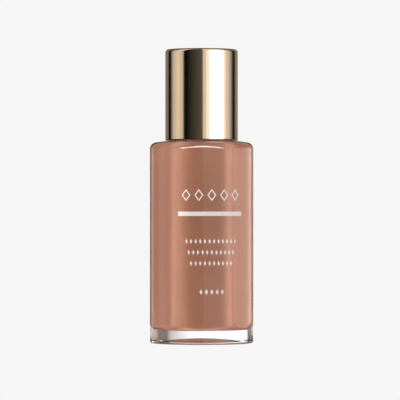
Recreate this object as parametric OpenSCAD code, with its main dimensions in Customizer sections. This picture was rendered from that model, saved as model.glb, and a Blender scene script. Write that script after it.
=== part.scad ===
// Foundation bottle: a heavy-based glass bottle with a screw-on dispensing pump
// under a tall metal overcap. Millimetres. The origin is the centre of the foot,
// +Z is up and the printed front faces -Y.

/* [Bottle] */
// Outside diameter of the glass body
body_d = 38; // [37:0.5:42]
// Height of the glass shoulder above the table
shoulder_h = 74.2; // [70:0.2:84]
// Inside diameter of the glass body
cavity_d = 25.4; // [22:0.2:27]
// Thickness of the clear glass base
base_t = 4.9; // [4:0.1:8]
// Thickness of the glass at the shoulder
shoulder_t = 2; // [2:0.2:4]
// Rounding of the outer shoulder edge
shoulder_round = 2.5; // [1:0.1:3]
// Fall of the shoulder outside the overcap, in degrees
shoulder_slope = 8; // [0:1:10]
// Rounding of the outer foot edge
foot_round = 1; // [0.6:0.1:3]
// Diameter of the hollow under the foot
punt_d = 25; // [14:0.5:27]
// Height of the hollow under the foot
punt_h = 2.1; // [0.6:0.1:2.4]

/* [Neck] */
// Height of the neck above the shoulder
neck_h = 10; // [10:0.2:12]
// Diameter of the neck between the threads
neck_d = 17.9; // [17.6:0.1:18.2]
// Diameter of the bore that the pump passes through
bore_d = 12.4; // [12:0.1:13]
// Rise of the thread in one turn
pitch = 3.18; // [3:0.02:3.2]
// Number of turns of the thread
thread_turns = 1.25; // [1:0.25:1.25]

/* [Cap] */
// Outside diameter of the overcap
cap_d = 26.6; // [26.6:0.1:28]
// Height of the top of the overcap above the table
cap_top = 108; // [108:0.5:116]
// Thickness of the overcap's metal shell
cap_shell_t = 0.5; // [0.4:0.05:0.6]
// Rounding of the overcap's top edge
cap_round = 1.2; // [0.8:0.1:1.6]
// Rounding of the overcap's bottom edge
cap_foot_round = 0.4; // [0.3:0.1:0.8]
// Gap between the overcap's edge and the glass shoulder
cap_gap = 0.2; // [0.2:0.05:0.5]
// Number of grip ribs inside the overcap
cap_ribs = 12; // [6:1:18]

/* [Pump] */
// Travel of the actuator when it is pressed
stroke = 4; // [3:0.25:4]
// Diameter of the check ball
ball_d = 3; // [2.8:0.1:3.2]
// Outside diameter of the dip tube
dip_tube_d = 3.8; // [3.4:0.1:4]
// Number of coils of the main spring
spring_coils = 6.5; // [5:0.5:7]
// Diameter of the main spring's wire
spring_wire_d = 0.6; // [0.4:0.05:0.7]
// Outside diameter of the actuator
actuator_d = 17; // [17:0.1:17.8]

/* [Print] */
// Height of the middle of the foil bar
bar_z = 47.6; // [40:0.1:50]
// Height of the foil bar
bar_h = 1.6; // [0.8:0.1:2.4]
// Angle that the foil bar wraps round the body
bar_angle = 76; // [40:1:100]
// Thickness of the printed foil
foil_t = 0.06; // [0.04:0.01:0.1]

/* [Hidden] */
$fn = 96;
eps = 0.01;

// Colours
glass_colour = [0.90, 0.93, 0.92, 0.35];
makeup_colour = [0.66, 0.44, 0.34];
foil_colour = [0.97, 0.93, 0.90];
gold_colour = [0.85, 0.71, 0.50];
natural_plastic = [0.93, 0.92, 0.88];
seal_colour = [0.80, 0.82, 0.80];
steel_colour = [0.75, 0.76, 0.78];

// Bottle and neck
body_r = body_d / 2;
cavity_r = cavity_d / 2;
cavity_top = shoulder_h - shoulder_t;
cavity_top_round = 1.2;
cavity_floor_round = 2;
bore_r = bore_d / 2;
bore_round = 0.8;
neck_r = neck_d / 2;
neck_top = shoulder_h + neck_h;
neck_fillet = 0.8;
neck_lip_round = 0.5;
punt_r = punt_d / 2;
punt_curve_r = (punt_r * punt_r + punt_h * punt_h) / (2 * punt_h);
fill_top = cavity_top + 1.3;

// Thread. Both threads follow one helix; the closure's lies a little under the neck's.
thread_depth = 0.85;
thread_gap = 0.2;
thread_start_z = shoulder_h + 3.2;
thread_start_angle = 25;
thread_steps = 32;
closure_wall_r = neck_r + thread_depth + thread_gap;
closure_thread_drop = 1.35;

// Stack on top of the neck
gasket_t = 1;
flange_z = neck_top + gasket_t;
flange_top = flange_z + 1.2;
flange_r = neck_r + 0.55;
lock_flange_top = flange_top + 0.9;
closure_plate_z = lock_flange_top + 0.1;
closure_plate_t = 1.2;
closure_bottom = shoulder_h + 0.8;
closure_top = closure_plate_z + closure_plate_t;
closure_r = closure_wall_r + 0.9;
collar_t = 0.5;
collar_r = closure_r + collar_t;
collar_top = closure_top + 0.45;
collar_bottom = closure_bottom - 0.1;

// Pump chamber, from the flange down to the dip tube
housing_r = 5.3;
chamber_r = 4.3;
chamber_floor = flange_top - 23.6;
valve_r = 3.2;
cage_r = ball_d / 2 + 0.4;
seat_top = chamber_floor - 3.2;
seat_r = 0.9;
seat_low = seat_top - (cage_r - seat_r);
ball_z = seat_low - seat_r + ball_d / 2 * sqrt(2) + 0.03;
socket_top = seat_low - 0.8;
socket_bottom = socket_top - 5.8;
socket_r = dip_tube_d / 2;
socket_outer_r = socket_r + 1;
tube_bottom = base_t + 1.2;

// Moving plunger inside the chamber
stem_r = 2.4;
stem_bore_r = 1.5;
guide_bottom = flange_top - 5.9;
guide_r = stem_r + 0.15;
piston_top = guide_bottom - 0.1;
piston_len = 5.05;
piston_bottom = piston_top - piston_len;
tip_disc_t = 1.15;
tip_disc_z = piston_bottom - tip_disc_t;
stem_bottom = piston_bottom + 0.25;
spring_r = 2.55;
spring_z0 = chamber_floor + 0.05;
spring_z1 = tip_disc_z - 0.05;

// Tower and actuator
tower_r = 6.2;
tower_bore_r = 4.9;
tower_top = collar_top + 5.15;
tower_floor = lock_flange_top + 0.7;
seal_r = 3.8;
seal_h = 1;
actuator_r = actuator_d / 2;
actuator_shell_t = 0.45;
actuator_bottom = collar_top + stroke + 0.35;
actuator_top = actuator_bottom + 11.2;
core_r = actuator_r - actuator_shell_t;
core_top = actuator_top - actuator_shell_t;
nozzle_z = actuator_top - 4;
nozzle_r = 2.1;
nozzle_out = actuator_r + 1.9;
stem_top = nozzle_z - 1.2;
swivel_gap = 0.04;
socket_ceiling = stem_top + 0.05;
hub_r = 4.3;
core_plate_z = core_top - 1;

// Overcap
cap_r = cap_d / 2;
shoulder_land_r = cap_r + 0.2;
cap_bottom = shoulder_h + cap_gap;
liner_r = cap_r - cap_shell_t;
liner_bore_r = liner_r - 0.9;
liner_bottom = cap_bottom + 0.5;
liner_ceiling = cap_top - cap_shell_t - 1.1;
rib_r = collar_r + 0.1;

// Print
lozenge_z = 54.4;
lozenge_size = [3.3, 4.5];
lozenge_line = 0.42;
lozenge_step = 14.3;
row_z = [37.6, 33.6, 29.6];
row_count = [12, 11, 10];
row_step = 5.1;
row_size = [0.95, 1.9];
footer_z = 19.2;
footer_count = 5;
footer_step = 6;
footer_size = [1.25, 2];

// Points on an arc round (cx, cz), from one angle to another
function arc(cx, cz, r, from, to, n = 8) =
    [for (i = [0:n]) let (a = from + (to - from) * i / n) [cx + r * cos(a), cz + r * sin(a)]];

function reversed(points) = [for (i = [len(points) - 1:-1:0]) points[i]];

// Inside wall of the glass, from the middle of its floor up to the neck's bore
function cavity_wall() = concat(
    [[0, base_t]],
    arc(cavity_r - cavity_floor_round, base_t + cavity_floor_round, cavity_floor_round, -90, 0),
    arc(cavity_r - cavity_top_round, cavity_top - cavity_top_round, cavity_top_round, 0, 90),
    arc(bore_r + bore_round, cavity_top + bore_round, bore_round, 270, 180)
);

// Outside of the shoulder: the body's rounded edge, the slope and the flat land under the overcap
function shoulder_line() =
    let (
        edge_r = body_r - shoulder_round + shoulder_round * sin(shoulder_slope),
        edge_z = shoulder_h - (edge_r - shoulder_land_r) * tan(shoulder_slope),
        centre_z = edge_z - shoulder_round * cos(shoulder_slope)
    )
    concat(
        arc(body_r - shoulder_round, centre_z, shoulder_round, 0, 90 - shoulder_slope),
        [[shoulder_land_r, shoulder_h]]
    );

// Solid of revolution about Z
module turned(points) rotate_extrude() polygon(points);

// Ring between two radii and two heights
module ring(r_in, r_out, z0, z1) turned([[r_in, z0], [r_out, z0], [r_out, z1], [r_in, z1]]);

// Helical bead. Its section runs from root_r, half as wide as root_w, to crest_r, and
// both ends fade back towards root_r.
module helical_bead(root_r, crest_r, root_w, crest_w, z0) {
    steps = ceil(thread_turns * thread_steps);
    fade_steps = 4;
    inward = crest_r < root_r;
    function fade(i) = min(1, i / fade_steps, (steps - i) / fade_steps);
    function section(i) =
        let (
            a = thread_start_angle + i * 360 / thread_steps,
            z = z0 + pitch * i / thread_steps,
            crest = root_r + (crest_r - root_r) * max(0.15, fade(i)),
            corners = [[root_r, z - root_w], [crest, z - crest_w], [crest, z + crest_w], [root_r, z + root_w]]
        )
        [for (c = inward ? reversed(corners) : corners) [c[0] * cos(a), c[0] * sin(a), c[1]]];
    points = [for (i = [0:steps]) each section(i)];
    sides = [for (i = [0:steps - 1], k = [0:3])
        [4 * i + k, 4 * i + (k + 1) % 4, 4 * (i + 1) + (k + 1) % 4, 4 * (i + 1) + k]];
    last = 4 * steps;
    polyhedron(points, concat(sides, [[3, 2, 1, 0], [last, last + 1, last + 2, last + 3]]));
}

// Thick glass body with a punt under its foot and a threaded neck
module glass_bottle() color(glass_colour) union() {
    turned(concat(
        arc(0, punt_h - punt_curve_r, punt_curve_r, 90, 90 - asin(punt_r / punt_curve_r)),
        arc(body_r - foot_round, foot_round, foot_round, -90, 0),
        shoulder_line(),
        arc(neck_r + neck_fillet, shoulder_h + neck_fillet, neck_fillet, 270, 180, 5),
        arc(neck_r - neck_lip_round, neck_top - neck_lip_round, neck_lip_round, 0, 90, 5),
        [[bore_r + neck_lip_round, neck_top], [bore_r, neck_top - neck_lip_round]],
        reversed(cavity_wall())
    ));
    helical_bead(neck_r - 0.3, neck_r + thread_depth, 1.1, 0.45, thread_start_z);
}

// The make-up itself, filling the cavity round the pump and its dip tube
module foundation_fill() color(makeup_colour) {
    room = 0.15;
    turned(concat(
        cavity_wall(),
        [
            [bore_r, fill_top],
            [housing_r + room, fill_top],
            [housing_r + room, seat_top + 0.2],
            [valve_r + room, seat_top],
            [valve_r + room, socket_top],
            [socket_outer_r + room, socket_top - 0.2],
            [socket_outer_r + room, socket_bottom - room],
            [socket_r + room, socket_bottom - room],
            [socket_r + room, tube_bottom - room],
            [0, tube_bottom - room]
        ]
    ));
}

// Sector of foil on the glass, centred on the front
module foil_sector(angle, z0, z1)
    rotate([0, 0, -90 - angle / 2])
        rotate_extrude(angle = angle)
            translate([body_r, z0]) square([foil_t, z1 - z0]);

// Metallic rule across the front
module accent_bar() color(foil_colour) foil_sector(bar_angle, bar_z - bar_h / 2, bar_z + bar_h / 2);

// Upright lozenge of foil wrapped on the glass, at an angle from the middle of the front.
// A line thickness makes it an outline.
module lozenge(size, angle, z, line = 0) {
    half_w = size[0] / 2;
    half_h = size[1] / 2;
    inner = 1 - line * norm([half_w, half_h]) / (half_w * half_h);
    outline = [[half_w, 0], [0, half_h], [-half_w, 0], [0, -half_h]];
    rotate([0, 0, angle]) intersection() {
        foil_sector(2 * asin(half_w / body_r) + 2, z - half_h - 0.5, z + half_h + 0.5);
        translate([0, 0, z]) rotate([90, 0, 0]) linear_extrude(height = body_r + 2) difference() {
            polygon(outline);
            if (line > 0) polygon(inner * outline);
        }
    }
}

// A row of filled lozenges, centred on the front
module lozenge_row(size, count, step, z)
    for (i = [0:count - 1]) lozenge(size, (i - (count - 1) / 2) * step, z);

// Plain printed ornament: large outlined lozenges over three rows and a footer of small ones
module printed_lozenges() color(foil_colour) {
    for (i = [-2:2]) lozenge(lozenge_size, i * lozenge_step, lozenge_z, lozenge_line);
    for (i = [0:len(row_z) - 1]) lozenge_row(row_size, row_count[i], row_step, row_z[i]);
    lozenge_row(footer_size, footer_count, footer_step, footer_z);
}

// Soft washer between the glass and the pump's flange
module neck_gasket() color(seal_colour) ring(bore_r + 0.1, neck_r - 0.05, neck_top, flange_z);

// Chamber with the flange, the ball's seat and the socket for the dip tube
module pump_housing() color(natural_plastic) union() {
    turned([
        [chamber_r, flange_top],
        [chamber_r, chamber_floor],
        [cage_r, chamber_floor],
        [cage_r, seat_top],
        [seat_r, seat_low],
        [seat_r, socket_top],
        [socket_r, socket_top],
        [socket_r, socket_bottom + 0.4],
        [socket_r + 0.3, socket_bottom],
        [socket_outer_r, socket_bottom],
        [socket_outer_r, socket_top - 0.2],
        [valve_r, socket_top],
        [valve_r, seat_top + 0.4],
        [housing_r, seat_top + 2.6],
        [housing_r, flange_z],
        [flange_r, flange_z],
        [flange_r, flange_top]
    ]);
    // Nibs that keep the ball in its cage
    for (a = [0:120:240]) rotate([0, 0, a])
        translate([cage_r - 0.7, -0.4, chamber_floor - 0.5]) cube([1, 0.8, 0.5]);
}

// Ring that locks the plunger in the chamber, guides the stem and rises as the tower
module lock_ring() color(natural_plastic) turned([
    [guide_r, guide_bottom],
    [chamber_r - 0.05, guide_bottom],
    [chamber_r - 0.05, flange_top],
    [flange_r - 0.2, flange_top],
    [flange_r - 0.2, lock_flange_top],
    [tower_r, lock_flange_top],
    [tower_r, tower_top - 0.4],
    [tower_r - 0.4, tower_top],
    [tower_bore_r, tower_top],
    [tower_bore_r, tower_floor],
    [seal_r, tower_floor],
    [seal_r, tower_floor - seal_h],
    [guide_r, tower_floor - seal_h]
]);

// Wiper ring that seals round the stem
module stem_seal() color(seal_colour) turned([
    [stem_r + 0.3, tower_floor - seal_h],
    [seal_r, tower_floor - seal_h],
    [seal_r, tower_floor],
    [stem_r + 0.05, tower_floor],
    [stem_r + 0.05, tower_floor - 0.4]
]);

// Return spring between the chamber's floor and the stem's tip, with closed end coils
module main_spring() {
    wire_r = spring_wire_d / 2;
    sides = 8;
    per_turn = 18;
    closed = 0.75;
    steps = spring_coils * per_turn;
    low = spring_z0 + wire_r;
    high = spring_z1 - wire_r;
    closed_rise = closed * spring_wire_d;
    open_pitch = (high - low - 2 * closed_rise) / (spring_coils - 2 * closed);
    function height(turn) =
        turn < closed ? low + turn * spring_wire_d
        : turn > spring_coils - closed ? high - (spring_coils - turn) * spring_wire_d
        : low + closed_rise + (turn - closed) * open_pitch;
    points = [for (i = [0:steps], k = [0:sides - 1])
        let (a = i * 360 / per_turn, b = k * 360 / sides, r = spring_r + wire_r * cos(b))
        [r * cos(a), r * sin(a), height(i / per_turn) + wire_r * sin(b)]];
    walls = [for (i = [0:steps - 1], k = [0:sides - 1])
        [sides * i + k, sides * i + (k + 1) % sides, sides * (i + 1) + (k + 1) % sides, sides * (i + 1) + k]];
    start_face = [for (k = [sides - 1:-1:0]) k];
    end_face = [for (k = [0:sides - 1]) sides * steps + k];
    color(steel_colour) polyhedron(points, concat(walls, [start_face, end_face]));
}

// Tube that draws from the bottom of the bottle, cut at an angle so that it can't seal on the floor
module dip_tube() color(natural_plastic) difference() {
    ring(socket_r - 0.65, socket_r, tube_bottom, socket_top);
    translate([0, 0, tube_bottom]) rotate([0, -30, 0])
        translate([-6, -4, -8 + socket_r * 0.3]) cube([12, 8, 7]);
}

// Check ball that closes the inlet on the down stroke
module inlet_ball() color(steel_colour) translate([0, 0, ball_z]) sphere(r = ball_d / 2);

// Hollow stem that carries the product up to the actuator
module stem() color(natural_plastic) turned([
    [stem_bore_r, stem_bottom],
    [stem_r, stem_bottom],
    [stem_r, stem_top - 0.3],
    [stem_r - 0.3, stem_top],
    [stem_bore_r, stem_top]
]);

// Piston with a wiping lip at each end
module piston() color(seal_colour) turned([
    [stem_r, piston_bottom],
    [stem_r + 0.9, piston_bottom],
    [chamber_r - 0.35, piston_bottom + 0.5],
    [chamber_r - 0.05, piston_bottom + 0.2],
    [chamber_r - 0.05, piston_bottom + 0.7],
    [chamber_r - 0.7, piston_bottom + 1.6],
    [chamber_r - 0.7, piston_top - 1.6],
    [chamber_r - 0.05, piston_top - 0.7],
    [chamber_r - 0.05, piston_top - 0.2],
    [chamber_r - 0.35, piston_top - 0.5],
    [stem_r + 0.9, piston_top],
    [stem_r, piston_top]
]);

// Fluted plug in the stem's lower end. Its disc closes the piston and takes the spring.
module stem_tip() color(natural_plastic) difference() {
    turned([
        [0, tip_disc_z],
        [spring_r + 0.2, tip_disc_z],
        [spring_r + 0.55, tip_disc_z + 0.35],
        [spring_r + 0.55, piston_bottom],
        [stem_bore_r, piston_bottom],
        [stem_bore_r, piston_bottom + 4.6],
        [stem_bore_r - 0.5, piston_bottom + 5.2],
        [0, piston_bottom + 5.2]
    ]);
    for (a = [0:120:240]) rotate([0, 0, a])
        translate([0.7, -0.35, piston_bottom + 0.3]) cube([1.5, 0.7, 6]);
}

// Press head: hub on the stem, skirt over the tower, stiffening ribs and the nozzle's boss
module actuator_core() color(natural_plastic) {
    skirt_bore_r = core_r - 0.95;
    rib_bottom = tower_top + stroke + 0.15;
    difference() {
        union() {
            ring(skirt_bore_r, core_r, actuator_bottom + 0.3, core_plate_z + eps);
            ring(0, core_r, core_plate_z, core_top);
            ring(0, hub_r, actuator_bottom + 0.3, core_plate_z + eps);
            for (a = [0:60:300]) rotate([0, 0, a])
                translate([hub_r - 0.5, -0.4, rib_bottom])
                    cube([skirt_bore_r - hub_r + 0.9, 0.8, core_plate_z + eps - rib_bottom]);
            translate([0, 0, nozzle_z]) rotate([90, 0, 0]) cylinder(r = nozzle_r, h = core_r - 0.3);
        }
        // Socket that snaps on the stem and turns on it, and the way up to the nozzle
        ring(0, stem_r + swivel_gap, actuator_bottom, socket_ceiling);
        translate([0, 0, socket_ceiling - eps]) cylinder(r = 1, h = nozzle_z - socket_ceiling + eps);
        translate([0, 0, nozzle_z]) rotate([90, 0, 0]) cylinder(r = 0.9, h = core_r - 3);
        translate([0, 4 - core_r, nozzle_z]) rotate([90, 0, 0]) cylinder(r = 1.5, h = 5);
    }
}

// Metal cup over the press head, with a round window for the nozzle
module actuator_shell() color(gold_colour) difference() {
    edge = 1.1;
    inner_edge = edge - actuator_shell_t;
    turned(concat(
        [[core_r, actuator_bottom], [actuator_r, actuator_bottom]],
        arc(actuator_r - edge, actuator_top - edge, edge, 0, 90),
        [[0, actuator_top], [0, core_top], [core_r, core_top]]
    ));
    translate([0, 0, nozzle_z]) rotate([90, 0, 0]) cylinder(r = nozzle_r + 0.1, h = actuator_r + 1);
}

// Nozzle pressed into the boss, with the outlet through its middle
module nozzle_tip() color(natural_plastic) translate([0, 0, nozzle_z]) rotate([90, 0, 0]) {
    shank_start = core_r - 4;
    turned([
        [0.6, shank_start],
        [1.5, shank_start],
        [1.5, core_r],
        [nozzle_r, core_r],
        [nozzle_r, nozzle_out - 1],
        [nozzle_r - 0.3, nozzle_out],
        [0.6, nozzle_out]
    ]);
}

// Threaded closure. A bead under the flange lifts the pump when the closure unscrews.
module screw_closure() color(natural_plastic) union() {
    pocket_r = flange_r + 0.2;
    bead_r = neck_r + thread_gap;
    turned([
        [closure_wall_r, closure_bottom],
        [closure_r, closure_bottom],
        [closure_r, closure_top],
        [tower_r + 0.3, closure_top],
        [tower_r + 0.3, closure_plate_z],
        [pocket_r, closure_plate_z],
        [pocket_r, flange_z - 0.1],
        [bead_r, flange_z - 0.2],
        [bead_r, neck_top + 0.2],
        [closure_wall_r, neck_top - 0.4]
    ]);
    helical_bead(closure_wall_r + 0.3, bead_r, 0.9, 0.35, thread_start_z - closure_thread_drop);
}

// Metal sleeve over the closure, turned in over its top
module collar_shell() color(gold_colour) turned(concat(
    [[closure_r, collar_bottom], [collar_r - 0.15, collar_bottom], [collar_r, collar_bottom + 0.15]],
    arc(collar_r - 0.9, collar_top - 0.9, 0.9, 0, 90),
    [[tower_r + 0.6, collar_top], [tower_r + 0.6, closure_top], [closure_r, closure_top]]
));

// Plastic liner of the overcap. Its ribs grip the collar.
module cap_liner() color(natural_plastic) union() {
    turned([
        [liner_bore_r + 0.3, liner_bottom],
        [liner_r, liner_bottom],
        [liner_r, cap_top - cap_shell_t - 0.7],
        [liner_r - 0.7, cap_top - cap_shell_t],
        [0, cap_top - cap_shell_t],
        [0, liner_ceiling],
        [liner_bore_r - 0.6, liner_ceiling],
        [liner_bore_r, liner_ceiling - 0.6],
        [liner_bore_r, liner_bottom + 0.6]
    ]);
    for (i = [0:cap_ribs - 1]) rotate([0, 0, (i + 0.5) * 360 / cap_ribs])
        translate([rib_r, -0.5, liner_bottom + 1]) cube([liner_bore_r - rib_r + 0.4, 1, 12.5]);
}

// Polished metal shell of the overcap, rolled in under the liner
module cap_shell() color(gold_colour) turned(concat(
    [[liner_bore_r + 0.4, cap_bottom + 0.1], [liner_bore_r + 0.5, cap_bottom]],
    arc(cap_r - cap_foot_round, cap_bottom + cap_foot_round, cap_foot_round, -90, 0),
    arc(cap_r - cap_round, cap_top - cap_round, cap_round, 0, 90),
    [[0, cap_top], [0, cap_top - cap_shell_t], [liner_r - 0.7, cap_top - cap_shell_t],
        [liner_r, cap_top - cap_shell_t - 0.7], [liner_r, liner_bottom], [liner_bore_r + 0.4, liner_bottom]]
));

glass_bottle();
foundation_fill();
accent_bar();
printed_lozenges();
neck_gasket();
pump_housing();
lock_ring();
stem_seal();
main_spring();
dip_tube();
inlet_ball();
stem();
piston();
stem_tip();
actuator_core();
actuator_shell();
nozzle_tip();
screw_closure();
collar_shell();
cap_liner();
cap_shell();
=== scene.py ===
"""Looks of the foundation bottle: lathe meshes for what shows, procedural materials and a soft studio."""

import math

import bpy
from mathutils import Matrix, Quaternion, Vector


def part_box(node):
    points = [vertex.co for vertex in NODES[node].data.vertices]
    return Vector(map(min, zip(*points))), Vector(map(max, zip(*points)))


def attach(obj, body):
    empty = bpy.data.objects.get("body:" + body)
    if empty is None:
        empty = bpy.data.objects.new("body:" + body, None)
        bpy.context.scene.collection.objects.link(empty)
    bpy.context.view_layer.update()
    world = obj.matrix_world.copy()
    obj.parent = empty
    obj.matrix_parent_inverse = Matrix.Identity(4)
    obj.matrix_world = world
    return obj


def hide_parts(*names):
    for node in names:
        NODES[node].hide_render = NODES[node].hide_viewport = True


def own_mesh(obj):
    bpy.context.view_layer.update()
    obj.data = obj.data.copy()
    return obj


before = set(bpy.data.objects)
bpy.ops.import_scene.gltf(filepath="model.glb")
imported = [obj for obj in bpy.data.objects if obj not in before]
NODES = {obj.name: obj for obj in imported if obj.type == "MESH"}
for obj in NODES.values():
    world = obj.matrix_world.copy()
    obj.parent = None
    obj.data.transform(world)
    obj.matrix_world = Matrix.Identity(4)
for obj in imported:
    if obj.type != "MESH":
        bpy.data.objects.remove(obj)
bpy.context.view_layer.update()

MM = 0.001


# --- Mesh helpers, in millimetres -------------------------------------------------------------


def reach(node):
    """Outer radius, lowest and highest z of a turned CAD node."""
    low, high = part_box(node)
    return high.x / MM, low.z / MM, high.z / MM


def soften(corners, closed=True):
    """Polyline through (r, z) or (r, z, fillet) corners, in millimetres.

    The fillets become arcs with guard points beside them, and a corner without a fillet gets a hairline one.
    """
    points = []
    count = len(corners)
    for i, corner in enumerate(corners):
        here = Vector(corner[:2])
        fillet = corner[2] if len(corner) > 2 else 0
        if not closed and i in (0, count - 1):
            points.append(here)
            continue
        before = Vector(corners[i - 1][:2]) - here
        after = Vector(corners[(i + 1) % count][:2]) - here
        if not fillet:
            fillet = min(0.02, before.length / 5, after.length / 5)
        half = before.angle(after) / 2
        if half > math.radians(89.5):
            points.append(here)
            continue
        back = fillet / math.tan(half)
        start = here + before.normalized() * back
        end = here + after.normalized() * back
        centre = here + (before.normalized() + after.normalized()).normalized() * (fillet / math.sin(half))
        guard = min(0.12, before.length / 6, after.length / 6)
        points.append(start + before.normalized() * guard)
        steps = max(2, round(math.degrees(math.pi - 2 * half) / (6 if fillet > 0.05 else 45)))
        first = start - centre
        last = end - centre
        turn = first.angle_signed(last) if first.length > 1e-9 else 0
        for k in range(steps + 1):
            a = -turn * k / steps
            points.append(centre + Vector((
                first.x * math.cos(a) - first.y * math.sin(a),
                first.x * math.sin(a) + first.y * math.cos(a),
            )))
        points.append(end + after.normalized() * guard)
    return [(max(p.x, 0.0), p.y) for p in points]


def add_mesh(name, verts, faces, material, smooth=True):
    """New object from millimetre vertices."""
    mesh = bpy.data.meshes.new(name)
    mesh.from_pydata([(x * MM, y * MM, z * MM) for x, y, z in verts], [], faces)
    mesh.validate()
    mesh.update()
    for polygon in mesh.polygons:
        polygon.use_smooth = smooth
    mesh.materials.append(material)
    obj = bpy.data.objects.new(name, mesh)
    bpy.context.scene.collection.objects.link(obj)
    return obj


def lathe(name, profile, material, segments=192, closed=True, radius_at=None):
    """Solid of revolution about Z.

    The profile runs counter-clockwise in (r, z). radius_at(r, z, angle) bends it, for threads.
    """
    verts, faces, rings = [], [], []
    for r, z in profile:
        if r < 1e-6:
            rings.append([len(verts)])
            verts.append((0, 0, z))
            continue
        rings.append(list(range(len(verts), len(verts) + segments)))
        for k in range(segments):
            a = 2 * math.pi * k / segments
            rr = radius_at(r, z, a) if radius_at else r
            verts.append((rr * math.cos(a), rr * math.sin(a), z))
    pairs = list(zip(rings, rings[1:] + rings[:1])) if closed else list(zip(rings, rings[1:]))
    for low, high in pairs:
        if len(low) == 1 and len(high) == 1:
            continue
        for k in range(segments):
            n = (k + 1) % segments
            if len(low) == 1:
                faces.append((low[0], high[n], high[k]))
            elif len(high) == 1:
                faces.append((low[k], low[n], high[0]))
            else:
                faces.append((low[k], low[n], high[n], high[k]))
    return add_mesh(name, verts, faces, material)


def stand_in(obj, body, slot, *nodes):
    """obj rides on a body in place of CAD nodes."""
    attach(obj, body)
    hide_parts(*nodes)
    return obj


# --- Materials --------------------------------------------------------------------------------

CREAM_DARK = (0.343, 0.137, 0.078)
CREAM_LIGHT = (0.36, 0.144, 0.083)


def shader(name, **inputs):
    """New Principled material with its nodes and links. Inputs given by name are set as constants."""
    material = bpy.data.materials.new(name)
    material.use_nodes = True
    nodes, links = material.node_tree.nodes, material.node_tree.links
    bsdf = nodes["Principled BSDF"]
    for key, value in inputs.items():
        bsdf.inputs[key.replace("_", " ")].default_value = value
    return material, nodes, links, bsdf


def noise(nodes, links, scale, detail=3.0, stretch=(1, 1, 1)):
    """Noise in object space. Scale counts features per metre."""
    coords = nodes.new("ShaderNodeTexCoord")
    mapping = nodes.new("ShaderNodeMapping")
    mapping.inputs["Scale"].default_value = stretch
    texture = nodes.new("ShaderNodeTexNoise")
    texture.inputs["Scale"].default_value = scale
    texture.inputs["Detail"].default_value = detail
    links.new(coords.outputs["Object"], mapping.inputs["Vector"])
    links.new(mapping.outputs["Vector"], texture.inputs["Vector"])
    return texture.outputs["Fac"]


def ramp(nodes, links, factor, low, high, start=0.3, end=0.7):
    """Two-colour ramp driven by a factor."""
    node = nodes.new("ShaderNodeValToRGB")
    node.color_ramp.elements[0].position = start
    node.color_ramp.elements[0].color = (*low, 1)
    node.color_ramp.elements[1].position = end
    node.color_ramp.elements[1].color = (*high, 1)
    links.new(factor, node.inputs["Fac"])
    return node.outputs["Color"]


def spread(nodes, links, factor, low, high):
    """Maps a factor's middle range to low..high."""
    node = nodes.new("ShaderNodeMapRange")
    node.inputs["From Min"].default_value = 0.3
    node.inputs["From Max"].default_value = 0.7
    node.inputs["To Min"].default_value = low
    node.inputs["To Max"].default_value = high
    links.new(factor, node.inputs["Value"])
    return node.outputs["Result"]


def bump(nodes, links, bsdf, height, strength, distance):
    """Adds a bump of that depth, in metres."""
    node = nodes.new("ShaderNodeBump")
    node.inputs["Strength"].default_value = strength
    node.inputs["Distance"].default_value = distance
    links.new(height, node.inputs["Height"])
    links.new(node.outputs["Normal"], bsdf.inputs["Normal"])


def gold_material(name, painted_shade_top=0.0):
    """Lacquered champagne-gold anodising: fine turning lines round the axis and a faintly uneven dye.

    Below the given height, in millimetres, painted shade darkens the metal towards its lower edge, standing
    in for the shadow in the gap where the cap sits on the shoulder.
    """
    material, nodes, links, bsdf = shader(
        name, Metallic=1.0, Coat_Weight=1.0, Coat_Roughness=0.25, Coat_IOR=1.7)
    dye = noise(nodes, links, 60, 2)
    colour = ramp(nodes, links, dye, (0.80, 0.585, 0.36), (0.84, 0.62, 0.385))
    # Painted shade: a near-black band at the foot of the sleeve, where the gap above the glass shoulder falls
    # in shadow
    if painted_shade_top:
        coords = nodes.new("ShaderNodeTexCoord")
        split = nodes.new("ShaderNodeSeparateXYZ")
        edge = nodes.new("ShaderNodeMapRange")
        edge.interpolation_type = "SMOOTHSTEP"
        edge.inputs["From Min"].default_value = (painted_shade_top - 0.3) * MM
        edge.inputs["From Max"].default_value = painted_shade_top * MM
        mix = nodes.new("ShaderNodeMix")
        mix.data_type = "RGBA"
        mix.inputs[6].default_value = (0.07, 0.04, 0.02, 1)
        links.new(coords.outputs["Object"], split.inputs["Vector"])
        links.new(split.outputs["Z"], edge.inputs["Value"])
        links.new(edge.outputs["Result"], mix.inputs["Factor"])
        links.new(colour, mix.inputs[7])
        colour = mix.outputs[2]
    links.new(colour, bsdf.inputs["Base Color"])
    haze = noise(nodes, links, 220, 4)
    links.new(spread(nodes, links, haze, 0.035, 0.06), bsdf.inputs["Roughness"])
    turning = noise(nodes, links, 300, 2, (0.02, 0.02, 14))
    bump(nodes, links, bsdf, turning, 0.05, 0.000004)
    return material


def glass_material():
    """Clear flint glass with a very slight mould ripple."""
    material, nodes, links, bsdf = shader(
        "clear_glass", Transmission_Weight=1.0, IOR=1.5)
    seed = noise(nodes, links, 90, 2)
    links.new(ramp(nodes, links, seed, (0.955, 0.97, 0.965), (0.975, 0.985, 0.98)), bsdf.inputs["Base Color"])
    polish = noise(nodes, links, 150, 3)
    links.new(spread(nodes, links, polish, 0.0, 0.012), bsdf.inputs["Roughness"])
    ripple = noise(nodes, links, 70, 1)
    bump(nodes, links, bsdf, ripple, 0.03, 0.00005)
    return material


def cream_material():
    """Opaque liquid make-up against the glass, with a fine pigment mottle."""
    material, nodes, links, bsdf = shader(
        "foundation_cream", Metallic=0.16, Roughness=0.28, Specular_IOR_Level=0.35)
    pigment = noise(nodes, links, 260, 5)
    links.new(ramp(nodes, links, pigment, CREAM_DARK, CREAM_LIGHT), bsdf.inputs["Base Color"])
    return material


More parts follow.
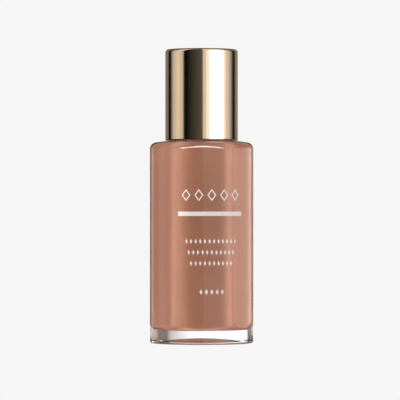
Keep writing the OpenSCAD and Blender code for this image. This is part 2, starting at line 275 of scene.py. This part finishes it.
def foil_material():
    """Hot-stamped pale foil with a slightly grainy edge-to-edge sheen."""
    material, nodes, links, bsdf = shader("pale_foil", Metallic=0.1, Specular_IOR_Level=0.6)
    grain = noise(nodes, links, 1500, 3)
    links.new(ramp(nodes, links, grain, (0.86, 0.79, 0.74), (0.97, 0.92, 0.88)), bsdf.inputs["Base Color"])
    links.new(spread(nodes, links, grain, 0.28, 0.42), bsdf.inputs["Roughness"])
    bump(nodes, links, bsdf, grain, 0.2, 0.000004)
    return material


def plastic_material(name, low, high, rough_low, rough_high, grain=900, depth=0.000006):
    """Moulded polymer: slow colour drift, satin patches and a fine spark-eroded grain."""
    material, nodes, links, bsdf = shader(name, Specular_IOR_Level=0.45)
    drift = noise(nodes, links, 120, 3)
    links.new(ramp(nodes, links, drift, low, high), bsdf.inputs["Base Color"])
    satin = noise(nodes, links, 300, 4)
    links.new(spread(nodes, links, satin, rough_low, rough_high), bsdf.inputs["Roughness"])
    texture = noise(nodes, links, grain, 3)
    bump(nodes, links, bsdf, texture, 0.25, depth)
    return material


def steel_material(name, rough_low, rough_high, stretch):
    """Bright steel with drawing or grinding marks."""
    material, nodes, links, bsdf = shader(name, Metallic=1.0)
    marks = noise(nodes, links, 500, 4, stretch)
    links.new(ramp(nodes, links, marks, (0.56, 0.57, 0.59), (0.70, 0.71, 0.73)), bsdf.inputs["Base Color"])
    links.new(spread(nodes, links, marks, rough_low, rough_high), bsdf.inputs["Roughness"])
    bump(nodes, links, bsdf, marks, 0.1, 0.000004)
    return material


gold = gold_material("gold_anodising")
# The cap's gold carries painted shade along its foot
cap_gold = gold_material("cap_gold_painted_shade", painted_shade_top=75.1)
glass = glass_material()
cream = cream_material()
foil = foil_material()
white_plastic = plastic_material("white_plastic", (0.80, 0.79, 0.76), (0.86, 0.85, 0.82), 0.34, 0.48)
natural_plastic = plastic_material("natural_plastic", (0.62, 0.62, 0.58), (0.70, 0.70, 0.66), 0.22, 0.36)
soft_seal = plastic_material("soft_seal", (0.66, 0.68, 0.69), (0.74, 0.76, 0.77), 0.45, 0.6, 1400, 0.000008)
spring_steel = steel_material("spring_steel", 0.18, 0.32, (1, 1, 6))
ball_steel = steel_material("ball_steel", 0.04, 0.09, (1, 1, 1))

# CAD nodes that keep their own shape
for node, material in {
    "neck_gasket": soft_seal,
    "pump_housing": natural_plastic,
    "stem_seal": soft_seal,
    "dip_tube": natural_plastic,
    "inlet_ball": ball_steel,
    "piston": soft_seal,
    "stem_tip": white_plastic,
    "actuator_core": white_plastic,
    "screw_closure": white_plastic,
    "cap_liner": white_plastic,
}.items():
    NODES[node].data.materials.clear()
    NODES[node].data.materials.append(material)


# --- Glass and foundation ---------------------------------------------------------------------

body_r = 19.0
shoulder_z = 74.2
shoulder_slope = math.radians(8)
land_r = 13.6
foot_round = 1.0
punt_r = 12.5
punt_h = 2.1
cavity_r = 12.7
floor_z = 4.9
cavity_top = 72.2
neck_r = 8.95
neck_top = reach("glass_bottle")[2]
neck_foot = 1.1
bore_r = 6.2
shoulder_round = 2.5
neck_foot_round = 0.8
bore_foot_round = 0.8
lip_round = 0.5
top_round = 1.2
floor_round = 2.0

thread_pitch = 3.18
thread_turns = 1.25
thread_start = Vector((25.0, 77.4))  # degrees round the neck, height
bead_half = 0.95
bead_flank = 0.5
bead_height = 0.85
bead_fade = 45


def neck_thread(r, z, a):
    """Radius of the neck with its right-handed bead."""
    if r < neck_r - 0.01 or z < shoulder_z + 1.2 or z > neck_top - 0.6:
        return r
    best = 0.0
    for turn in range(3):
        angle = math.degrees(a) - thread_start.x + 360 * turn
        if not 0 <= angle <= 360 * thread_turns:
            continue
        fade = min(1.0, angle / bead_fade, (360 * thread_turns - angle) / bead_fade)
        off = abs(z - thread_start.y - thread_pitch * angle / 360)
        rise = min(1.0, max(0.0, (bead_half - off) / bead_flank))
        best = max(best, bead_height * fade * rise * rise * (3 - 2 * rise))
    return r + best


punt_curve = (punt_r ** 2 + punt_h ** 2) / (2 * punt_h)
foot = [(punt_curve * math.sin(a), punt_h - punt_curve * (1 - math.cos(a)))
        for a in [math.asin(punt_r / punt_curve) * k / 20 for k in range(21)]]
shoulder_edge = shoulder_z - (body_r - land_r) * math.tan(shoulder_slope)
outer = soften([
    (punt_r, 0), (body_r, 0, foot_round), (body_r, shoulder_edge, shoulder_round), (land_r, shoulder_z),
    (neck_r, shoulder_z, neck_foot_round), (neck_r, shoulder_z + neck_foot)], closed=False)
# The neck's side needs many rings, so that the thread can bulge out of it
neck_side = [(neck_r, shoulder_z + neck_foot + 0.12 * k) for k in range(1, 68)]
lip = soften([
    (neck_r, neck_top - 0.7), (neck_r, neck_top, lip_round), (bore_r, neck_top, lip_round),
    (bore_r, cavity_top, bore_foot_round), (cavity_r, cavity_top, top_round),
    (cavity_r, floor_z, floor_round), (0, floor_z)], closed=False)
profile = foot + outer[1:] + neck_side + lip
bottle_glass = lathe("bottle_glass", profile, glass, 256, closed=False, radius_at=neck_thread)
stand_in(bottle_glass, "bottle", "clear_glass", "glass_bottle")

# The cream wets the glass, so its skin overlaps the inner wall a little. Inside, it stands off the pump.
wet = 0.04
tube_low = reach("dip_tube")[1]
tube_gap = 0.15
fill_top = 73.5
pump_barrel = [(5.45, fill_top), (5.45, 59.8), (3.35, 59.6), (3.35, 57.8), (3.05, 57.6), (3.05, 51.85)]
cream_profile = soften([
    (0, floor_z - wet), (cavity_r + wet, floor_z - wet, floor_round),
    (cavity_r + wet, cavity_top + wet, top_round), (bore_r + wet, cavity_top + wet, bore_foot_round),
    (bore_r + wet, fill_top), *pump_barrel, (2.05, 51.85), (2.05, tube_low - tube_gap),
    (0, tube_low - tube_gap)], closed=False)
foundation = lathe("foundation", cream_profile, cream, 192, closed=False)
stand_in(foundation, "bottle", "foundation", "foundation_fill")


# --- Print, wrapped on the front of the glass -------------------------------------------------


def foil_ring(verts, faces, inner, rim, lift):
    """Adds a closed foil shape between two loops of (degrees, z)."""
    base = len(verts)
    count = len(rim)
    for radius in (body_r + 0.004, body_r + lift):
        for loop in (inner, rim):
            for degrees, z in loop:
                a = math.radians(degrees - 90)
                verts.append((radius * math.cos(a), radius * math.sin(a), z))
    low_in, low_rim, top_in, top_rim = (base + j * count for j in range(4))
    for k in range(count):
        n = (k + 1) % count
        faces.append((top_in + k, top_rim + k, top_rim + n, top_in + n))
        faces.append((low_in + n, low_rim + n, low_rim + k, low_in + k))
        faces.append((low_rim + k, low_rim + n, top_rim + n, top_rim + k))
        faces.append((low_in + n, low_in + k, top_in + k, top_in + n))


def foil_patch(verts, faces, columns, lift):
    """Adds a closed foil shape from columns of (degrees, low z, high z). The end columns may be points."""
    base = len(verts)
    index = []
    for radius in (body_r + 0.004, body_r + lift):
        for degrees, low, high in columns:
            a = math.radians(degrees - 90)
            place = (radius * math.cos(a), radius * math.sin(a))
            index.append((len(verts), len(verts) if high - low < 1e-6 else len(verts) + 1))
            verts.append((*place, low))
            if high - low >= 1e-6:
                verts.append((*place, high))
    count = len(columns)
    under, over = index[:count], index[count:]

    def face(*corners):
        kept = [c for i, c in enumerate(corners) if c != corners[i - 1]]
        if len(kept) > 2:
            faces.append(tuple(kept))

    for k in range(count - 1):
        (a0, a1), (b0, b1) = over[k], over[k + 1]
        (c0, c1), (d0, d1) = under[k], under[k + 1]
        face(a0, b0, b1, a1)
        face(c1, d1, d0, c0)
        face(c0, d0, b0, a0)
        face(a1, b1, d1, c1)
    face(under[0][0], over[0][0], over[0][1], under[0][1])
    face(under[-1][1], over[-1][1], over[-1][0], under[-1][0])


def lozenge_outline(width, height, line, turn, z, steps=6):
    """Inner and outer loops of an outlined lozenge, turned round the body by that many degrees."""
    half_w, half_h = width / 2, height / 2
    shrink = 1 - line * math.hypot(half_w, half_h) / (half_w * half_h)
    corners = [(half_w, 0), (0, half_h), (-half_w, 0), (0, -half_h)]
    loops = []
    for scale in (shrink, 1.0):
        loop = []
        for (x0, z0), (x1, z1) in zip(corners, corners[1:] + corners[:1]):
            for k in range(steps):
                x = (x0 + (x1 - x0) * k / steps) * scale
                dz = (z0 + (z1 - z0) * k / steps) * scale
                loop.append((turn + math.degrees(math.asin(x / body_r)), z + dz))
        loops.append(loop)
    return loops


def lozenge_columns(width, height, turn, z, steps=6):
    """Columns of a filled lozenge."""
    columns = []
    for k in range(steps + 1):
        t = 2 * k / steps - 1
        half = height / 2 * (1 - abs(t))
        columns.append((turn + math.degrees(math.asin(t * width / 2 / body_r)), z - half, z + half))
    return columns


foil_lift = 0.045
heading_step = 14.3
heading_z = 54.4
marks, mark_faces = [], []
for i in range(-2, 3):
    inner, rim = lozenge_outline(3.3, 4.5, 0.42, i * heading_step, heading_z)
    foil_ring(marks, mark_faces, inner, rim, foil_lift)
# Small rows: how many, degrees apart, height, and each lozenge's width and height
rows = [
    (12, 5.1, 37.6, 0.95, 1.9), (11, 5.1, 33.6, 0.95, 1.9), (10, 5.1, 29.6, 0.95, 1.9),
    (5, 6.0, 19.2, 1.25, 2.0)]
for count, step, z, width, height in rows:
    for i in range(count):
        columns = lozenge_columns(width, height, (i - (count - 1) / 2) * step, z)
        foil_patch(marks, mark_faces, columns, foil_lift)
printed_marks = add_mesh("printed_marks", marks, mark_faces, foil, smooth=False)
stand_in(printed_marks, "bottle", "pale_foil", "printed_lozenges")

bar_low, bar_high = (corner.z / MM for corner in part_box("accent_bar"))
bar_angle = 76
bar, bar_faces = [], []
bar_columns = [(-bar_angle / 2 + bar_angle * k / 60, bar_low, bar_high) for k in range(61)]
foil_patch(bar, bar_faces, bar_columns, foil_lift)
foil_rule = add_mesh("foil_rule", bar, bar_faces, foil, smooth=False)
stand_in(foil_rule, "bottle", "pale_foil", "accent_bar")


# --- Metal shells and the pump's visible parts ------------------------------------------------

cap_r, cap_low, cap_high = reach("cap_shell")
cap_wall = 0.5
cap_round = 1.2
cap_foot_round = 0.4
liner_r = cap_r - cap_wall
cap_profile = soften([
    (0, cap_high - cap_wall), (liner_r - 0.7, cap_high - cap_wall), (liner_r, cap_high - 1.2),
    (liner_r, cap_low + 0.5), (liner_r - 0.5, cap_low + 0.5), (liner_r - 0.45, cap_low),
    (cap_r, cap_low, cap_foot_round), (cap_r, cap_high, cap_round), (0, cap_high)], closed=False)
cap = lathe("cap_sleeve", cap_profile, cap_gold, 256, closed=False)
stand_in(cap, "overcap", "gold_metal", "cap_shell")

collar_r, collar_low, collar_high = reach("collar_shell")
closure_r = collar_r - 0.5
collar_wall = 0.45
collar_hole_r = 6.8
collar = lathe("collar_sleeve", soften([
    (closure_r, collar_low, 0.05), (collar_r, collar_low, 0.15), (collar_r, collar_high, 0.9),
    (collar_hole_r, collar_high, 0.08), (collar_hole_r, collar_high - collar_wall, 0.05),
    (closure_r, collar_high - collar_wall)]), gold, 192)
stand_in(collar, "closure", "gold_metal", "collar_shell")

press_r, press_low, press_high = reach("actuator_shell")
press_wall = 0.45
core_r = press_r - press_wall
nozzle_low, nozzle_high = (corner.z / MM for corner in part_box("nozzle_tip"))
nozzle_z = (nozzle_low + nozzle_high) / 2
nozzle_r = (nozzle_high - nozzle_low) / 2
head = lathe("press_cup", soften([
    (0, press_high - press_wall), (core_r, press_high - press_wall, 0.05), (core_r, press_low, 0.05),
    (press_r, press_low, 0.15), (press_r, press_high, 1.1), (0, press_high)],
    closed=False), gold, 256, closed=False)
bpy.ops.mesh.primitive_cylinder_add(vertices=96, radius=(nozzle_r + 0.1) * MM, depth=0.012,
                                    location=(0, -0.010, nozzle_z * MM), rotation=(math.pi / 2, 0, 0))
cutter = bpy.context.object
hole = head.modifiers.new("nozzle_window", "BOOLEAN")
hole.object = cutter
hole.solver = "EXACT"
bpy.context.view_layer.objects.active = head
bpy.ops.object.modifier_apply(modifier=hole.name)
bpy.data.objects.remove(cutter)
stand_in(head, "actuator", "gold_metal", "actuator_shell")

tip_end = -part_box("nozzle_tip")[0].y / MM
tip = lathe("nozzle_snout", soften([
    (0.6, core_r - 4), (1.5, core_r - 4, 0.1), (1.5, core_r), (nozzle_r, core_r),
    (nozzle_r, tip_end - 0.6, 0.6), (nozzle_r - 0.5, tip_end, 0.35), (1.05, tip_end, 0.1),
    (0.6, tip_end - 0.5)]), white_plastic, 96)
# Turned about Z, so it's laid down to point forwards
for vertex in tip.data.vertices:
    x, y, z = vertex.co
    vertex.co = (x, -z, y + nozzle_z * MM)
tip.data.update()
stand_in(tip, "actuator", "white_plastic", "nozzle_tip")

ring_r, ring_low, ring_high = reach("lock_ring")
flange_top = 86.4
tower = lathe("pump_tower", soften([
    (2.55, ring_low), (4.25, ring_low, 0.1), (4.25, flange_top), (ring_r, flange_top),
    (ring_r, flange_top + 0.9, 0.15), (6.2, flange_top + 0.9, 0.2), (6.2, ring_high, 0.4),
    (4.9, ring_high, 0.15), (4.9, flange_top + 1.6, 0.3), (3.8, flange_top + 1.6),
    (3.8, flange_top + 0.6), (2.55, flange_top + 0.6)]), natural_plastic, 160)
stand_in(tower, "pump", "natural_plastic", "lock_ring")

stem_r, stem_low, stem_high = reach("stem")
stem = lathe("hollow_stem", soften([
    (1.5, stem_low), (stem_r, stem_low), (stem_r, stem_high, 0.25),
    (1.5, stem_high, 0.1)]), white_plastic, 96)
stand_in(stem, "plunger", "white_plastic", "stem")


# --- Return spring ----------------------------------------------------------------------------

spring_low, spring_high = (corner.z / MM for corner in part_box("main_spring"))
wire_r = 0.3
coil_r = 2.55
coils = 6.5
closed_coils = 0.75


def coil_height(turn):
    """Height of the wire's centre, with closed coils at both ends."""
    low, high = spring_low + wire_r, spring_high - wire_r
    rise = closed_coils * 2 * wire_r
    if turn < closed_coils:
        return low + turn * 2 * wire_r
    if turn > coils - closed_coils:
        return high - (coils - turn) * 2 * wire_r
    return low + rise + (turn - closed_coils) * (high - low - 2 * rise) / (coils - 2 * closed_coils)


steps_per_coil = 48
wire, wire_faces = [], []
steps, sides = int(coils * steps_per_coil), 14
for i in range(steps + 1):
    a = 2 * math.pi * i / steps_per_coil
    tuck = 0.7 if i in (0, steps) else 1.0
    for k in range(sides):
        b = 2 * math.pi * k / sides
        r = coil_r + tuck * wire_r * math.cos(b)
        z = coil_height(i / steps_per_coil) + tuck * wire_r * math.sin(b)
        wire.append((r * math.cos(a), r * math.sin(a), z))
for i in range(steps):
    for k in range(sides):
        n = (k + 1) % sides
        wire_faces.append((sides * i + k, sides * (i + 1) + k, sides * (i + 1) + n, sides * i + n))
wire_faces.append(tuple(range(sides)))
wire_faces.append(tuple(range(sides * steps + sides - 1, sides * steps - 1, -1)))
spring = add_mesh("return_spring", wire, wire_faces, spring_steel)
stand_in(spring, "pump", "spring_steel", "main_spring")
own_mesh(spring)


# --- Floor, studio and camera -----------------------------------------------------------------

paper = (0.922, 0.922, 0.922)
camera_turn = math.radians(-11.3)


def plain_floor():
    """Shadowless pale sweep under the bottle."""
    mesh = bpy.data.meshes.new("floor")
    mesh.from_pydata([(-40, -40, 0), (40, -40, 0), (40, 40, 0), (-40, 40, 0)], [], [(0, 1, 2, 3)])
    floor = bpy.data.objects.new("floor", mesh)
    bpy.context.scene.collection.objects.link(floor)
    material = bpy.data.materials.new("floor_paper")
    material.use_nodes = True
    nodes, links = material.node_tree.nodes, material.node_tree.links
    nodes.clear()
    glow = nodes.new("ShaderNodeEmission")
    glow.inputs["Color"].default_value = (*paper, 1)
    out = nodes.new("ShaderNodeOutputMaterial")
    links.new(glow.outputs["Emission"], out.inputs["Surface"])
    mesh.materials.append(material)
    floor.location.z = -0.0002
    floor.visible_glossy = False
    floor.visible_transmission = False


def studio():
    """World with two sets of panels: one for what surfaces mirror, one for what is lit through the glass."""
    world = bpy.data.worlds.new("studio")
    bpy.context.scene.world = world
    world.use_nodes = True
    nodes, links = world.node_tree.nodes, world.node_tree.links
    nodes.clear()

    coords = nodes.new("ShaderNodeTexCoord")
    turn = nodes.new("ShaderNodeMapping")
    turn.inputs["Rotation"].default_value = (0, 0, -camera_turn)
    links.new(coords.outputs["Generated"], turn.inputs["Vector"])
    split = nodes.new("ShaderNodeSeparateXYZ")
    links.new(turn.outputs["Vector"], split.inputs["Vector"])

    def maths(operation, a, b):
        node = nodes.new("ShaderNodeMath")
        node.operation = operation
        for socket, value in zip(node.inputs, (a, b)):
            if isinstance(value, (int, float)):
                socket.default_value = value
            else:
                links.new(value, socket)
        return node.outputs["Value"]

    # 0 to 1 round the bottle: 0.5 faces the front, and it grows to the right
    around = maths("ARCTAN2", split.outputs["X"], maths("MULTIPLY", split.outputs["Y"], -1))
    around = maths("ADD", maths("DIVIDE", around, 2 * math.pi), 0.5)

    # Levels are divided by this to make ramp colours, and the backgrounds' strength multiplies them back
    ramp_scale = 8

    def panels(*boxes):
        """Light round the bottle, from boxes of four angles, a level and a tint.

        A box fades in, holds its level and fades out between its angles, in degrees to the camera's right.
        """
        node = nodes.new("ShaderNodeValToRGB")
        stops = sorted({angle for box in boxes for angle in box[:4]} | {-180, 180})
        while len(node.color_ramp.elements) < len(stops):
            node.color_ramp.elements.new(0.5)
        for element, angle in zip(node.color_ramp.elements, stops):
            light = Vector((0, 0, 0))
            for fade_in, start, end, fade_out, level, *tint in boxes:
                part = min(1, (angle - fade_in) / (start - fade_in or 1) if angle < start else 1,
                           (fade_out - angle) / (fade_out - end or 1) if angle > end else 1)
                light += Vector(tint[0] if tint else (1, 1, 1)) * level * max(0, part)
            element.position = angle / 360 + 0.5
            element.color = (*(light / ramp_scale), 1)
        links.new(around, node.inputs["Fac"])
        return node.outputs["Color"]

    # Dim stretches are warm, as if the bottle's own glow fell on them
    warm = (1, 0.76, 0.66)
    bronze = (1, 0.88, 0.74)

    # What the metal and the glass's surface mirror: a tall strip on the left, a big key on the right and
    # thin rims behind
    mirrored = panels(
        (-164, -154, -137, -128, 0.26, bronze), (-117, -99, -64, -57, 0.70), (-94, -84, -78, -68, 0.15),
        (-50, 0, 2, 5, 0.10), (2.3, 5.3, 94, 119, 0.78), (128, 142, 160, 172, 0.30, bronze))
    # What lights the cream and shows through the clear base: fills at both sides and a white backdrop
    # behind, which goes warm and dim at its right edge
    entering = panels(
        (-180, -180, -131, -125, 1.15), (-131, -124, -101, -99, 0.15, warm), (-98.9, -94, -74, -33, 4.0),
        (-50, -30, 50, 74, 0.42), (64, 93, 95, 99, 6.4), (99.1, 101, 129, 136, 0.56, warm),
        (129, 135, 149, 154, 0.19, warm), (149, 154, 180, 180, 0.55, warm),
        (151, 171, 180, 180, 0.58, (0.88, 1.15, 1.3)))
    entering_high = panels((-114, -98, -70, -48, 5.0), (-50, -30, 36, 62, 0.3), (66, 92, 105, 118, 9.8))

    def by_height(start, end, below):
        """Factor that goes from below to 1 between two heights of the direction looked in."""
        node = nodes.new("ShaderNodeMapRange")
        node.interpolation_type = "SMOOTHSTEP"
        node.inputs["From Min"].default_value = start
        node.inputs["From Max"].default_value = end
        node.inputs["To Min"].default_value = below
        links.new(split.outputs["Z"], node.inputs["Value"])
        return node.outputs["Result"]

    path = nodes.new("ShaderNodeLightPath")

    def lights(colour, strength):
        node = nodes.new("ShaderNodeBackground")
        links.new(colour, node.inputs["Color"])
        links.new(strength, node.inputs["Strength"])
        return node.outputs["Background"]

    def either(choice, first, second):
        node = nodes.new("ShaderNodeMixShader")
        links.new(choice, node.inputs["Fac"])
        links.new(first, node.inputs[1])
        links.new(second, node.inputs[2])
        return node.outputs["Shader"]

    # Slightly dim below eye level, and bright straight down, which lights the foot of the cream
    below = maths("MULTIPLY", by_height(-0.28, -0.1, 0.8), by_height(-0.8, -0.55, 3))
    full = maths("MULTIPLY", below, ramp_scale)
    backdrop = nodes.new("ShaderNodeBackground")
    backdrop.inputs["Color"].default_value = (*paper, 1)
    mirror_light = lights(mirrored, maths("MULTIPLY", by_height(-0.3, -0.03, 0.2), ramp_scale))
    inward = either(by_height(0.13, 0.28, 0), lights(entering, full), lights(entering_high, full))
    seen = either(path.outputs["Is Transmission Ray"], mirror_light, inward)
    seen = either(path.outputs["Is Camera Ray"], seen, backdrop.outputs["Background"])
    out = nodes.new("ShaderNodeOutputWorld")
    links.new(seen, out.inputs["Surface"])


def linked(name, *objects):
    """Collection that a softbox can be limited to."""
    collection = bpy.data.collections.new(name)
    for obj in objects:
        collection.objects.link(obj)
    return collection


def softbox(name, receivers, turn, lift, distance, size, level, tint=(1, 1, 1), shape="RECTANGLE",
            roll=0, diffuse=False):
    """Softbox that lights only the receivers, and unless diffuse is only mirrored in them.

    It stands turn degrees to the camera's right and lift degrees up, seen from the shoulder.
    """
    data = bpy.data.lights.new(name, "AREA")
    data.shape = shape
    data.size, data.size_y = size
    data.energy = level * math.pi * size[0] * size[1]
    data.color = tint
    light = bpy.data.objects.new(name, data)
    bpy.context.scene.collection.objects.link(light)
    a, e = math.radians(turn) + camera_turn, math.radians(lift)
    aim = Vector((math.sin(a) * math.cos(e), -math.cos(a) * math.cos(e), math.sin(e)))
    light.location = aim * distance + Vector((0, 0, shoulder_z * MM))
    facing = aim.to_track_quat("Z", "Y") @ Quaternion((0, 0, 1), math.radians(roll))
    light.rotation_euler = facing.to_euler()
    light.visible_camera = False
    light.visible_diffuse = diffuse
    light.visible_transmission = False
    light.light_linking.receiver_collection = receivers


def photo_camera():
    """Long lens level with the middle of the bottle, a little to the left of the printed front."""
    data = bpy.data.cameras.new("camera")
    data.lens = 318
    data.sensor_width = 36
    data.shift_x = -0.004
    data.clip_start = 0.01
    camera = bpy.data.objects.new("camera", data)
    bpy.context.scene.collection.objects.link(camera)
    distance = 1.3
    eye_height = 0.0526
    camera.location = (distance * math.sin(camera_turn), -distance * math.cos(camera_turn), eye_height)
    camera.rotation_euler = (math.pi / 2, 0, camera_turn)
    bpy.context.scene.camera = camera


plain_floor()
studio()
glass_only = linked("glass_only", bottle_glass)
metal_only = linked("metal_only", cap, collar, head)
foil_only = linked("foil_only", printed_marks, foil_rule)
softbox("right_panel", glass_only, 109, 0, 0.6, (0.79, 0.18), 2.1, (1, 0.72, 0.6))
softbox("left_rim", glass_only, -142, 0, 0.6, (0.14, 0.18), 0.8, (1, 0.58, 0.42))
softbox("brow_left", glass_only, -20, 25, 0.5, (0.72, 0.22), 9.0, shape="ELLIPSE", roll=28)
softbox("brow_right", glass_only, 20, 25, 0.5, (0.72, 0.22), 9.0, shape="ELLIPSE", roll=-28)
softbox("metal_core", metal_only, 49, 0, 0.6, (0.53, 1.2), 2.4)
softbox("metal_skirt", metal_only, 48, 0, 0.62, (0.84, 1.2), 0.42, (0.8, 1, 1.3))
softbox("print_light", foil_only, -60, 5, 0.6, (0.4, 0.6), 3.0, diffuse=True)
photo_camera()
bpy.context.scene.view_settings.view_transform = "Standard"

bpy.context.view_layer.update()
